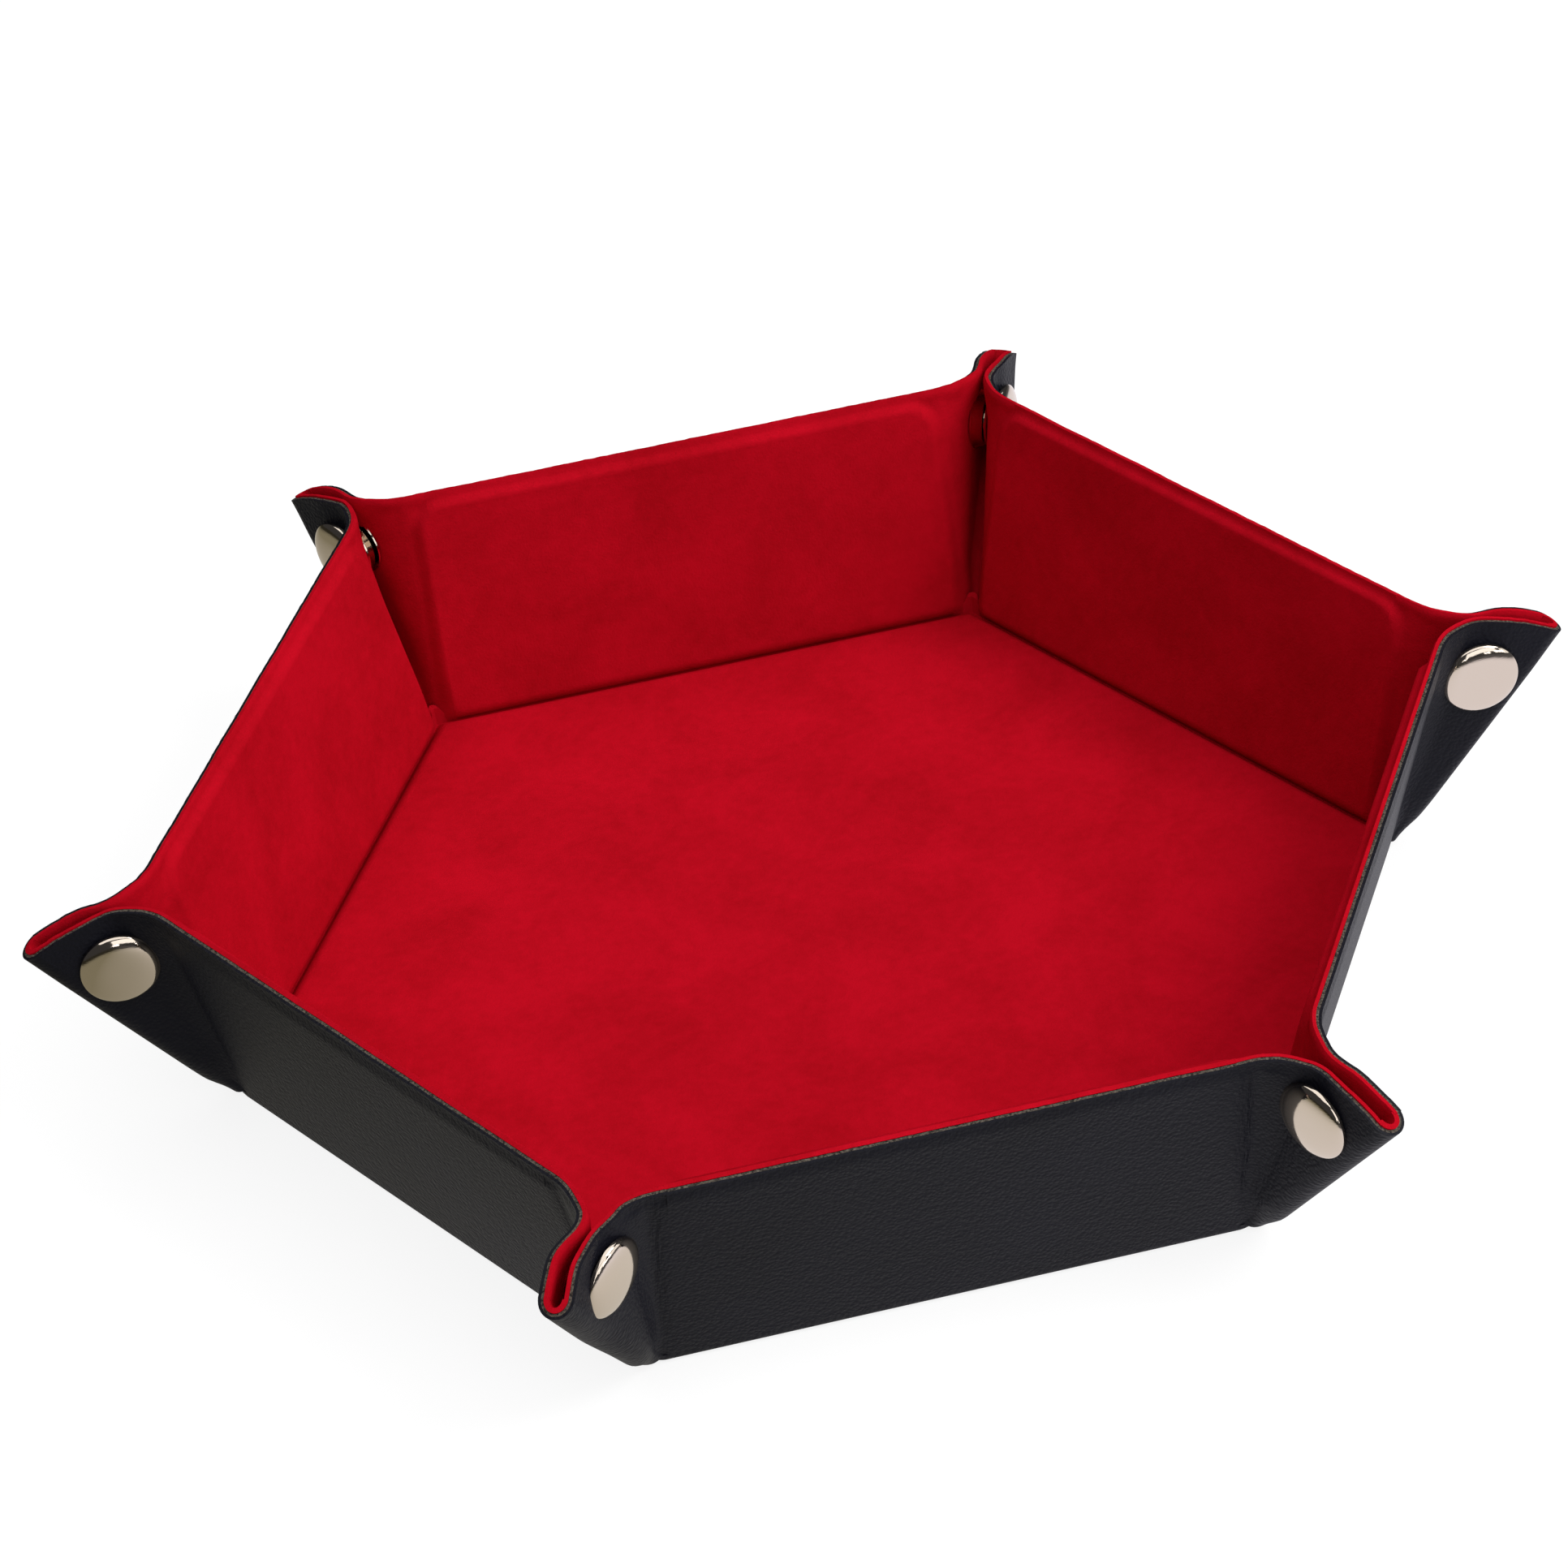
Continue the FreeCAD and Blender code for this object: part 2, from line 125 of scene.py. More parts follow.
JOINTS = {joint["name"]: joint for joint in frame["record"]["behaviour"]["joints"]}
UP = np.array([0.0, 0.0, 1.0])
WALL_ANGLE = math.radians(JOINTS["front_wall_fold"]["range_deg"][1])
LEAN = math.atan(TAN_30 * math.cos(WALL_ANGLE))
FLAP_ANGLE = math.acos(0.5 * math.sin(WALL_ANGLE))
DIAGONAL = math.radians(30) - LEAN  # the diagonal crease from the flap fold, within the flap


class Wall:
    """One wall's axes and the point in the middle of its floor fold, in millimetres."""

    def __init__(self, name):
        joint = JOINTS[f"{name}_wall_fold"]
        self.name = name
        self.origin = np.array(joint["pos_m"]) / MM
        self.u = -np.array(joint["axis"])
        self.out = self.origin * [1, 1, 0] / np.linalg.norm(self.origin[:2])
        self.v = math.cos(WALL_ANGLE) * self.out + math.sin(WALL_ANGLE) * UP
        self.w = np.cross(self.u, self.v)

    def point(self, u, v, w):
        """Points on the stiff part of the wall."""
        return self.origin + np.multiply.outer(u, self.u) + np.multiply.outer(v, self.v) \
            + np.multiply.outer(w, self.w)

    def flap_point(self, side, across, along, w):
        """Points of a flap from its own flat plan: across is out from the flap fold."""
        half = 0.5 + 0.125 * np.clip(along, 0, None)  # half width of the bend, a slim cone
        drawn_in = 0.4 * (1 - smooth(-0.5, 6, along)) * smooth(0, 1.5, across)  # at the floor's corner
        across = across * (1 - drawn_in)
        w = w + sway(self, side, across, along)
        bend = half / math.tan(FLAP_ANGLE / 2)
        share = np.clip((across + half) / (2 * half), 0, 1)
        turn = FLAP_ANGLE * share
        before, after = across < -half, across > half
        x = np.where(before, across, np.where(after, across * math.cos(FLAP_ANGLE),
                                              -half + bend * np.sin(turn)))
        z = np.where(before, 0, np.where(after, -across * math.sin(FLAP_ANGLE),
                                         -bend * (1 - np.cos(turn))))
        x, z = x + w * np.sin(turn), z + w * np.cos(turn)
        u = side * (FLAP_FOLD + x * math.cos(LEAN) + along * math.sin(LEAN))
        v = -x * math.sin(LEAN) + along * math.cos(LEAN)
        return self.point(u, v, z)

    def flap_spot(self, side, across, along, w=0.0):
        """One point of a flap."""
        return self.flap_point(side, np.array(across), np.array(along), np.array(w))


def flap_plan(u, v):
    """Across and along a flap, from U (measured outwards) and V."""
    reach = u - FLAP_FOLD
    return (reach * math.cos(LEAN) - v * math.sin(LEAN), reach * math.sin(LEAN) + v * math.cos(LEAN))


CREASE_START = flap_plan(FOLD_SIDE / 2, 0.0)


def from_crease(off, along):
    """Across and along a flap, from distance off the diagonal crease and along it."""
    return (CREASE_START[0] - off * math.cos(DIAGONAL) + along * math.sin(DIAGONAL),
            CREASE_START[1] + off * math.sin(DIAGONAL) + along * math.cos(DIAGONAL))


# ------------------------------------------------------------------------- relief

def ramp(inset):
    """Share of the board's thickness along a fold, from the distance inside the board's edge."""
    return np.sin(math.pi / 2 * np.clip((inset + 2.3) / 2.3, 0, 1))


def board_relief(u, v):
    """Share of the board's thickness that shows through at a point of a wall."""
    x = np.abs(u) - (BOARD_HALF_WIDTH - BOARD_CORNER)
    y = v - (BOARD_TOP - BOARD_CORNER)
    outside = np.hypot(np.maximum(x, 0), np.maximum(y, 0))
    inset = BOARD_CORNER - (outside + np.minimum(np.maximum(x, y), 0))
    return smooth(-2.0, 0.0, inset) * ramp(v - BOARD_INSET)


def closing(v, drop):
    """The board's relief dies away before the cut edge, which stands lower by drop."""
    return 1 - smooth(BOARD_TOP + 0.1, WALL_SLANT - drop - 0.1, v)


def fall(share):
    """How much of a cut edge's drop there is, from the share of the height up the wall."""
    return smooth(0.76, 1, share)


def inward(u, v):
    """How far both layers draw in beyond the board: above it, and in a groove beside it."""
    above = 0.4 * smooth(BOARD_TOP - 0.5, BOARD_TOP + 2.0, v)
    beside = 0.3 * np.exp(-((np.abs(u) - BOARD_HALF_WIDTH - 2.0) / 1.4) ** 2) * smooth(4, 12, v)
    return np.maximum(above, beside)


def pinch(across, along):
    """How far two flaps come together: above the press stud, and down at the floor's corner."""
    near = 1.1 * np.exp(-((across - 5.0) / 5.0) ** 2) + 0.4 * smooth(8, 14, across)
    high = np.minimum(near, 1.2) * smooth(35, 42.5, along)
    low = 1.25 * (1 - smooth(0, 11, along)) * smooth(-1.0, 2.0, across)
    return high + low


def sway(wall, side, across, along):
    """How far a pair of flaps stands to one side along its own W, the two together."""
    share = SWAY.get((wall.name, side), 0.0) * smooth(2, 24, along)
    lean = 1.9 * smooth(2.5, 12, across) - 0.6 * smooth(-1.5, 3.5, across) - 0.3 * smooth(12, 18, across)
    return share * lean


# ------------------------------------------------------------------------- meshes

def wrinkled(panel):
    """Where the leathercloth is creased, 0 to 1: beside the board's ends and above its top."""
    u, v = np.abs(panel[..., 0]), panel[..., 1]
    ends = np.exp(-((u - BOARD_HALF_WIDTH - 0.8) / 1.6) ** 2) * smooth(1, 6, v)
    top = 0.6 * np.exp(-((v - BOARD_TOP - 0.2) / 1.0) ** 2) * (1 - smooth(40, 46, u))
    return np.clip(np.maximum(ends, top), 0, 1)


def shell(name, face, back, plan, panel, materials, share=0.5):
    """A closed piece of sheet from two grids of points, its face and its back.

    plan holds the flat blank's coordinates of each grid point and panel the wall's own, for
    the two UV maps.  Its back and rim get the last material, apart from the share of the rim
    next to the face.
    """
    rows, columns = face.shape[:2]
    mesh = bpy.data.meshes.new(name)
    count = rows * columns
    rim = [(0, c) for c in range(columns)] + [(r, columns - 1) for r in range(1, rows)] \
        + [(rows - 1, c) for c in range(columns - 2, -1, -1)] + [(r, 0) for r in range(rows - 2, 0, -1)]
    middle = [face[r, c] * (1 - share) + back[r, c] * share for r, c in rim]
    points = np.concatenate([face.reshape(-1, 3), back.reshape(-1, 3), np.array(middle)])
    faces, slots, last = [], [], len(materials) - 1
    flat = plan.reshape(-1, 2)
    maps = {"blank": np.concatenate([flat, flat, np.array([plan[r, c] for r, c in rim])])}
    flat = panel.reshape(-1, 2)
    maps["panel"] = np.concatenate([flat, flat, np.array([panel[r, c] for r, c in rim])])
    for r in range(rows - 1):
        for c in range(columns - 1):
            a, b = r * columns + c, r * columns + c + 1
            d, e = a + columns, b + columns
            faces.append((a, b, e, d))
            slots.append(0)
            faces.append((count + a, count + d, count + e, count + b))
            slots.append(last)
    total = len(rim)
    for i in range(total):
        j = (i + 1) % total
        f0, f1 = rim[i][0] * columns + rim[i][1], rim[j][0] * columns + rim[j][1]
        m0, m1 = 2 * count + i, 2 * count + j
        faces.append((f1, f0, m0, m1))
        slots.append(0)
        faces.append((m1, m0, count + f0, count + f1))
        slots.append(last)
    mesh.from_pydata(metres(points).tolist(), [], faces)
    for material in materials:
        mesh.materials.append(material)
    mesh.polygons.foreach_set("material_index", slots)
    corners = np.zeros(len(mesh.loops), int)
    mesh.loops.foreach_get("vertex_index", corners)
    for key, places in maps.items():
        uv = mesh.uv_layers.new(name=key)
        uv.data.foreach_set("uv", metres(places)[corners].ravel().tolist())
    crease = mesh.attributes.new("crease", "FLOAT", "POINT")
    crease.data.foreach_set("value", wrinkled(maps["panel"]).tolist())
    work = bmesh.new()
    work.from_mesh(mesh)
    bmesh.ops.recalc_face_normals(work, faces=work.faces)
    work.to_mesh(mesh)
    work.free()
    obj = bpy.data.objects.new(name, mesh)
    bpy.context.collection.objects.link(obj)
    mesh.polygons.foreach_set("use_smooth", [True] * len(mesh.polygons))
    sharp_by_angle(obj, 50)
    return obj


def sharp_by_angle(obj, degrees):
    """Smooth shading that keeps the sheet's cut edges crisp."""
    bpy.ops.object.select_all(action="DESELECT")
    obj.select_set(True)
    bpy.context.view_layer.objects.active = obj
    bpy.ops.object.shade_smooth_by_angle(angle=math.radians(degrees))
    obj.select_set(False)


def spaced(*stretches):
    """Numbers from one stretch to the next, each (start, end, steps)."""
    parts = [np.linspace(a, b, n, endpoint=False) for a, b, n in stretches]
    return np.concatenate(parts + [[stretches[-1][1]]])


def wall_plan(number, u, v):
    """Flat blank coordinates of points on a wall: the floor's centre is the origin."""
    turn = math.radians(120 + 60 * number)
    x, y = np.asarray(u, float), APOTHEM + np.asarray(v, float)
    return np.stack([x * math.cos(turn) - y * math.sin(turn), x * math.sin(turn) + y * math.cos(turn)], -1)


def ragged(edge_u, seed):
    """The unevenness of a cut edge, along its length."""
    coarse = np.array([noise.noise(Vector((u / 9.0, seed, 0.0))) for u in edge_u])
    fine = np.array([noise.noise(Vector((u / 1.3, seed + 40.0, 0.0))) for u in edge_u])
    return 0.12 * coarse + 0.10 * fine


def floor_piece(layer):
    """The floor's sheet, in rows across the hexagon inside the fold strips."""
    reach = APOTHEM - FOLD_BAND
    y = spaced((-reach, -reach + 4.5, 10), (-reach + 4.5, reach - 4.5, 84), (reach - 4.5, reach, 10))
    share = spaced((-1, -0.95, 12), (-0.95, 0.95, 96), (0.95, 1, 12))
    x = np.outer((2 * reach - np.abs(y)) * TAN_30, share)
    plan = np.stack([x, np.repeat(y[:, None], len(share), axis=1)], -1)
    ring = np.max([np.abs(plan @ [math.cos(math.radians(a)), math.sin(math.radians(a))])
                   for a in (30, 90, 150)], axis=0)
    relief = BOARD * ramp(APOTHEM - BOARD_INSET - ring)
    if layer == "velvet":
        low = HALF_LEATHER + VELVET_BACK + relief
        high = low + VELVET_FACE - VELVET_BACK
    else:
        low, high = np.full_like(x, LEATHER), np.zeros_like(x)
    points = [np.concatenate([plan, z[..., None]], -1) for z in (high, low)]
    return points[0], points[1], plan, np.zeros_like(plan)


def fold_section(layer):
    """The floor fold in section: (out, up) points of the sheet's face and back."""
    half_turn = WALL_ANGLE / 2
    steps = np.linspace(0, WALL_ANGLE, 9)

    def bend(radius_to_centre, radius, rise=0.0):
        """Points round the bend; the ends run on straight, or rising, to the strip's edges."""
        back_off = radius_to_centre * math.tan(half_turn)
        centre = np.array([-back_off, radius_to_centre])
        arc = [centre + radius * np.array([math.sin(a), -math.cos(a)]) for a in steps]
        level = radius_to_centre - radius + rise
        start = np.array([-FOLD_BAND, level])
        end = FOLD_BAND * np.array([math.cos(WALL_ANGLE), math.sin(WALL_ANGLE)]) \
            + level * np.array([-math.sin(WALL_ANGLE), math.cos(WALL_ANGLE)])
        return np.array([start] + arc + [end])

    if layer == "velvet":
        crease, rise = 0.15, BOARD * float(ramp(FOLD_BAND - BOARD_INSET))
        return bend(VELVET_FACE + crease, crease, rise), bend(FOLD_RADIUS, FOLD_RADIUS - VELVET_BACK, rise)
    return bend(FOLD_RADIUS, FOLD_RADIUS + HALF_LEATHER), bend(FOLD_RADIUS, FOLD_RADIUS - HALF_LEATHER)


def fold_piece(wall, number, layer):
    """The strip that bends between the floor and a wall, mitred into its neighbours."""
    face_section, back_section = fold_section(layer)
    share = spaced((-1, -0.9, 16), (-0.9, 0.9, 64), (0.9, 1, 16))
    stretch = np.linspace(-FOLD_BAND, FOLD_BAND, len(face_section))

    def grid(section):
        rows = []
        for number_in_section, (out, up) in enumerate(section):
            lift = STRIP_END_LIFT * smooth(0.925, 1, np.abs(share)) * float(smooth(-FOLD_BAND, 0.2, out))
            last = layer == "velvet" and number_in_section == len(section) - 1
            web = (VELVET_WEB if last else 0.0) * smooth(0.945, 0.985, np.abs(share))
            out = out + web * math.cos(WALL_ANGLE)
            u = share * (APOTHEM + out) * TAN_30
            rows.append(wall.origin + u[:, None] * wall.u + out[:, None] * wall.out
                        + (up + lift + web * math.sin(WALL_ANGLE))[:, None] * UP)
        return np.array(rows)

    plan = np.array([wall_plan(number, share * (APOTHEM + v) * TAN_30, v) for v in stretch])
    panel = np.array([np.column_stack([share * (APOTHEM + v) * TAN_30,
                                       np.full(len(share), v)]) for v in stretch])
    return grid(face_section), grid(back_section), plan, panel


def corner_drop(number, side):
    return CORNER_DROP[number if side > 0 else (number + 1) % 6]


def trim(wall, layer):
    """How far short of the velvet's cut edge the leathercloth stops."""
    return LEATHER_SHORT.get(wall.name, 0.1) if layer == "leather" else 0.0


def wall_piece(wall, number, layer):
    u = np.linspace(-SEAM, SEAM, 115)
    v = spaced((FOLD_BAND, 6, 9), (6, 36, 20), (36, WALL_SLANT, 13))
    gu, gv = np.meshgrid(u, v)
    edge = ragged(u, 7.0 * number)
    near_edge = smooth(WALL_SLANT - 1.5, WALL_SLANT, gv)
    gv = gv + (edge[None, :] - trim(wall, layer)) * near_edge
    drop = WALL_DROP.get(wall.name, 0.0)
    gv = gv - drop * fall((gv - FOLD_BAND) / (WALL_SLANT - FOLD_BAND))
    shift = inward(gu, gv)
    if layer == "velvet":
        round_off = 0.25 * smooth(WALL_SLANT - 0.5, WALL_SLANT, gv)
        back = VELVET_BACK + BOARD * board_relief(gu, gv) * closing(gv, drop) + shift
        face = back + VELVET - round_off
    else:
        face = -HALF_LEATHER + shift
        back = face + LEATHER
    points = [wall.point(gu, gv, w) for w in (face, back)]
    return points[0], points[1], wall_plan(number, gu, gv), np.stack([gu, gv], -1)


def flap_grid():
    """Outward U and V of a flap's grid points, from the seam to the lip, on the flat blank."""
    columns = 38
    s = np.linspace(0, 1, columns)
    t = spaced((0, 0.12, 6), (0.12, 0.86, 30), (0.86, 1, 14))
    rows = len(t)
    corner = np.array([FOLD_SIDE / 2 + (WALL_SLANT - BLANK_CORNER) * TAN_30,
                       WALL_SLANT - BLANK_CORNER])
    last = math.radians(60) + math.asin(LIP_START / BLANK_CORNER)
    straight = corner[0] - SEAM
    arc = BLANK_CORNER * (math.pi / 2 - last)
    lengths = s * (straight + arc)
    angle = math.pi / 2 - np.clip(lengths - straight, 0, None) / BLANK_CORNER
    top = np.where(lengths[:, None] < straight,
                   np.column_stack([SEAM + lengths, np.full(columns, WALL_SLANT)]),
                   corner + BLANK_CORNER * np.column_stack([np.cos(angle), np.sin(angle)]))
    lip_foot = FOLD_SIDE / 2 + FOLD_BAND * TAN_30 - LIP_START / COS_30
    bottom = np.column_stack([SEAM + s * (lip_foot - SEAM), np.full(columns, FOLD_BAND)])
    left = np.column_stack([np.full(rows, SEAM), FOLD_BAND + t * (WALL_SLANT - FOLD_BAND)])
    right = bottom[-1] + t[:, None] * (top[-1] - bottom[-1])
    grid = np.zeros((rows, columns, 2))
    for i in range(rows):
        for j in range(columns):
            grid[i, j] = (1 - s[j]) * left[i] + s[j] * right[i] + (1 - t[i]) * bottom[j] + t[i] * top[j] \
                - ((1 - s[j]) * (1 - t[i]) * bottom[0] + s[j] * (1 - t[i]) * bottom[-1]
                   + (1 - s[j]) * t[i] * top[0] + s[j] * t[i] * top[-1])
    return grid, t


def flap_piece(wall, number, side, layer):
    grid, t = flap_grid()
    u, v = grid[..., 0], grid[..., 1]
    across, along = flap_plan(u, v)
    rag = ragged(side * u[-1], 7.0 * number)
    near_edge = smooth(0.96, 1, t)[:, None]
    ease = 1 - smooth(0.35, 0.9, np.linspace(0, 1, grid.shape[1]))
    along = along + (rag - trim(wall, layer) * ease)[None, :] * near_edge
    tip = corner_drop(number, side) + (LIP_SHORT if layer == "leather" else 0.0)
    drop = WALL_DROP.get(wall.name, 0.0) * ease + tip * (1 - ease)
    along = along - drop[None, :] * fall(t)[:, None]
    settled = v - drop[None, :] * fall(t)[:, None]
    on_wall = 1 - smooth(-2.0, 2.5, across)  # beyond the fold the sheet is plain
    lift = pinch(across, along) + on_wall * inward(u, v)
    if layer == "velvet":
        round_off = 0.25 * smooth(0.985, 1, t)[:, None]
        relief = board_relief(u, settled) * closing(settled, WALL_DROP.get(wall.name, 0.0))
        back = VELVET_BACK + on_wall * BOARD * relief + lift
        face = back + VELVET - round_off
    else:
        face = -HALF_LEATHER + lift
        back = face + LEATHER
    points = [wall.flap_point(side, across, along, w) for w in (face, back)]
    return points[0], points[1], wall_plan(number, side * u, v), np.stack([side * u, v], -1)


def lip_piece(wall, number, side, layer):
    """The rounded fold from a flap to the corner's middle."""
    turns = np.linspace(0, math.pi / 2, 9)
    t = spaced((0, 0.12, 5), (0.12, 0.9, 26), (0.9, 1, 8))
    outer, inner = (VELVET_FACE, VELVET_BACK) if layer == "velvet" else (-HALF_LEATHER, HALF_LEATHER)
    centre_along = (WALL_SLANT - BLANK_CORNER) / COS_30
    face, back, plan = [], [], []
    for part in t:
        face_row, back_row, plan_row = [], [], []
        for turn in turns:
            off_flat = LIP_START * (1 - turn / (math.pi / 2))
            low = LIP_FOOT[layer] + LIP_FOOT_RISE * (turn / (math.pi / 2))
            high = centre_along + math.sqrt(BLANK_CORNER ** 2 - off_flat ** 2)
            drop = corner_drop(number, side) + (LIP_SHORT if layer == "leather" else 0.0)
            along_crease = low + part * (high - low) - drop * fall(part)
            lift = pinch(*from_crease(LIP_START, along_crease))
            for row, w0 in ((face_row, outer), (back_row, inner)):
                radius = PINCH_OFFSET - w0
                off = LIP_START - radius * math.sin(turn)
                across, along = from_crease(off, along_crease)
                w = PINCH_OFFSET - (radius - lift) * math.cos(turn)
                row.append(wall.flap_spot(side, across, along, w))
            across, along = from_crease(off_flat, along_crease)
            reach = across * math.cos(LEAN) + along * math.sin(LEAN)
            u, v = FLAP_FOLD + reach, -across * math.sin(LEAN) + along * math.cos(LEAN)
            plan_row.append((side * u, v))
        face.append(face_row)
        back.append(back_row)
        plan.append(plan_row)
    panel = np.array(plan)
    return np.array(face), np.array(back), wall_plan(number, panel[..., 0], panel[..., 1]), panel


# ---------------------------------------------------------------------- materials

def linear(colour):
    """An sRGB hex value such as "c01020" as a linear colour."""
    channels = [int(colour[i:i + 2], 16) / 255 for i in (0, 2, 4)]
    return tuple(c / 12.92 if c <= 0.04045 else ((c + 0.055) / 1.055) ** 2.4 for c in channels) + (1.0,)


def add(tree, kind, settings=(), links=()):
    """A node of a kind, with its properties or input values set and its inputs linked."""
    made = tree.nodes.new(kind)
    for key, setting in dict(settings).items():
        if isinstance(key, int) or key in made.inputs:
            made.inputs[key].default_value = setting
        else:
            setattr(made, key, setting)
    for key, source in dict(links).items():
        tree.links.new(source, made.inputs[key])
    return made


def blend_of(tree, source, low, high, start=0.0, end=1.0):
    """A colour ramp from one sRGB hex colour to another, between two levels of its source."""
    ramp_node = add(tree, "ShaderNodeValToRGB", links={"Fac": source})
    for stop, colour, place in zip(ramp_node.color_ramp.elements, (low, high), (start, end)):
        stop.color = linear(colour)
        stop.position = place
    return ramp_node


def new_material(name):
    material = bpy.data.materials.new(name)
    material.use_nodes = True
    material.node_tree.nodes.clear()
    return material, material.node_tree


def finish_material(tree, shader):
    add(tree, "ShaderNodeOutputMaterial", links={"Surface": shader.outputs["BSDF"]})


def black_leathercloth():
    """Coated leathercloth, embossed with a fine pebble grain: near black, a little blue, with
    a soft sheen that breaks up on the grain and small cracks where the cloth has creased."""
    material, tree = new_material("black_leathercloth")
    place = add(tree, "ShaderNodeUVMap", {"uv_map": "blank"})
    panel = add(tree, "ShaderNodeUVMap", {"uv_map": "panel"})
    creased = add(tree, "ShaderNodeAttribute", {"attribute_name": "crease"})
    uneven = add(tree, "ShaderNodeTexNoise", {"Scale": 520.0, "Detail": 2.0},
                 {"Vector": place.outputs["UV"]})
    swerve = add(tree, "ShaderNodeVectorMath", {"operation": "MULTIPLY_ADD", 1: (0.0004, 0.0004, 0.0)},
                 {0: uneven.outputs["Color"], 2: place.outputs["UV"]})
    grain = add(tree, "ShaderNodeTexVoronoi", {"feature": "F1", "Scale": 1600.0},
                {"Vector": swerve.outputs["Vector"]})
    pores = add(tree, "ShaderNodeTexNoise", {"Scale": 2200.0, "Detail": 3.0, "Roughness": 0.6},
                {"Vector": place.outputs["UV"]})
    domed = add(tree, "ShaderNodeMath", {"operation": "MULTIPLY_ADD", 1: -0.9, 2: 1.0},
                {0: grain.outputs["Distance"]})
    pebbles = add(tree, "ShaderNodeMix", {"data_type": "FLOAT", 0: 0.3},
                  {2: domed.outputs["Value"], 3: pores.outputs["Fac"]})
    stretched = add(tree, "ShaderNodeVectorMath", {"operation": "MULTIPLY", 1: (1400.0, 190.0, 1.0)},
                    {0: panel.outputs["UV"]})
    folds = add(tree, "ShaderNodeTexNoise", {"Scale": 1.0, "Detail": 3.0, "Roughness": 0.55},
                {"Vector": stretched.outputs["Vector"]})
    deep = add(tree, "ShaderNodeMath", {"operation": "MULTIPLY"},
               {0: folds.outputs["Fac"], 1: creased.outputs["Fac"]})
    height = add(tree, "ShaderNodeMath", {"operation": "MULTIPLY_ADD", 1: -1.6},
                 {0: deep.outputs["Value"], 2: pebbles.outputs[0]})
    bump = add(tree, "ShaderNodeBump", {"Strength": 0.9, "Distance": 0.0002},
               {"Height": height.outputs["Value"]})
    patches = add(tree, "ShaderNodeTexNoise", {"Scale": 40.0, "Detail": 3.0},
                  {"Vector": place.outputs["UV"]})
    tone = blend_of(tree, patches.outputs["Fac"], "0f0f14", "16161f")
    rough = add(tree, "ShaderNodeMapRange", {"From Min": 0.25, "From Max": 0.75, "To Min": 0.4, "To Max": 0.55},
                {"Value": pores.outputs["Fac"]})
    shader = add(tree, "ShaderNodeBsdfPrincipled", {"IOR": 1.18},
                 {"Base Color": tone.outputs["Color"], "Roughness": rough.outputs["Result"],
                  "Normal": bump.outputs["Normal"]})
    finish_material(tree, shader)
    return material


def knitted_backing():
    """The leathercloth's knitted polyester backing, seen at its cut edges: grey-brown,
    flecked and fibrous."""
    material, tree = new_material("knitted_backing")
    place = add(tree, "ShaderNodeTexCoord")
    flecks = add(tree, "ShaderNodeTexNoise", {"Scale": 2600.0, "Detail": 3.0, "Roughness": 0.7},
                 {"Vector": place.outputs["Object"]})
    tone = blend_of(tree, flecks.outputs["Fac"], "1c1917", "625a50", 0.38, 0.62)
    bump = add(tree, "ShaderNodeBump", {"Strength": 0.8, "Distance": 0.0002},
               {"Height": flecks.outputs["Fac"]})
    shader = add(tree, "ShaderNodeBsdfPrincipled", {"Roughness": 0.95, "Specular IOR Level": 0.2},
                 {"Base Color": tone.outputs["Color"], "Normal": bump.outputs["Normal"]})
    finish_material(tree, shader)
    return material


def red_velvet():
    """Short-pile velvet: deep saturated red, a shade lighter where the pile leans away, with
    faint brushed clouds and a fine tooth all over."""
    material, tree = new_material("red_velvet")
    place = add(tree, "ShaderNodeUVMap", {"uv_map": "blank"})
    brushed = add(tree, "ShaderNodeTexNoise",
                  {"Scale": 46.0, "Detail": 7.0, "Roughness": 0.66, "Distortion": 0.4},
                  {"Vector": place.outputs["UV"]})
    pile = add(tree, "ShaderNodeTexNoise", {"Scale": 2400.0, "Detail": 2.0, "Roughness": 0.6},
               {"Vector": place.outputs["UV"]})
    tufts = add(tree, "ShaderNodeTexNoise", {"Scale": 480.0, "Detail": 3.0, "Roughness": 0.7},
                {"Vector": place.outputs["UV"]})
    nap = add(tree, "ShaderNodeMix", {"data_type": "FLOAT", 0: 0.3},
              {2: brushed.outputs["Fac"], 3: tufts.outputs["Fac"]})
    tone = blend_of(tree, nap.outputs[0], "9f0a17", "b30c1e", 0.36, 0.60)
    height = add(tree, "ShaderNodeMix", {"data_type": "FLOAT", 0: 0.4},
                 {2: pile.outputs["Fac"], 3: tufts.outputs["Fac"]})
    bump = add(tree, "ShaderNodeBump", {"Strength": 0.4, "Distance": 0.0003}, {"Height": height.outputs[0]})
    shader = add(tree, "ShaderNodeBsdfPrincipled",
                 {"Roughness": 1.0, "Specular IOR Level": 0.0, "Sheen Weight": 0.04, "Sheen Roughness": 0.4,
                  "Sheen Tint": linear("d02030")},
                 {"Base Color": tone.outputs["Color"], "Normal": bump.outputs["Normal"]})
    finish_material(tree, shader)
    return material


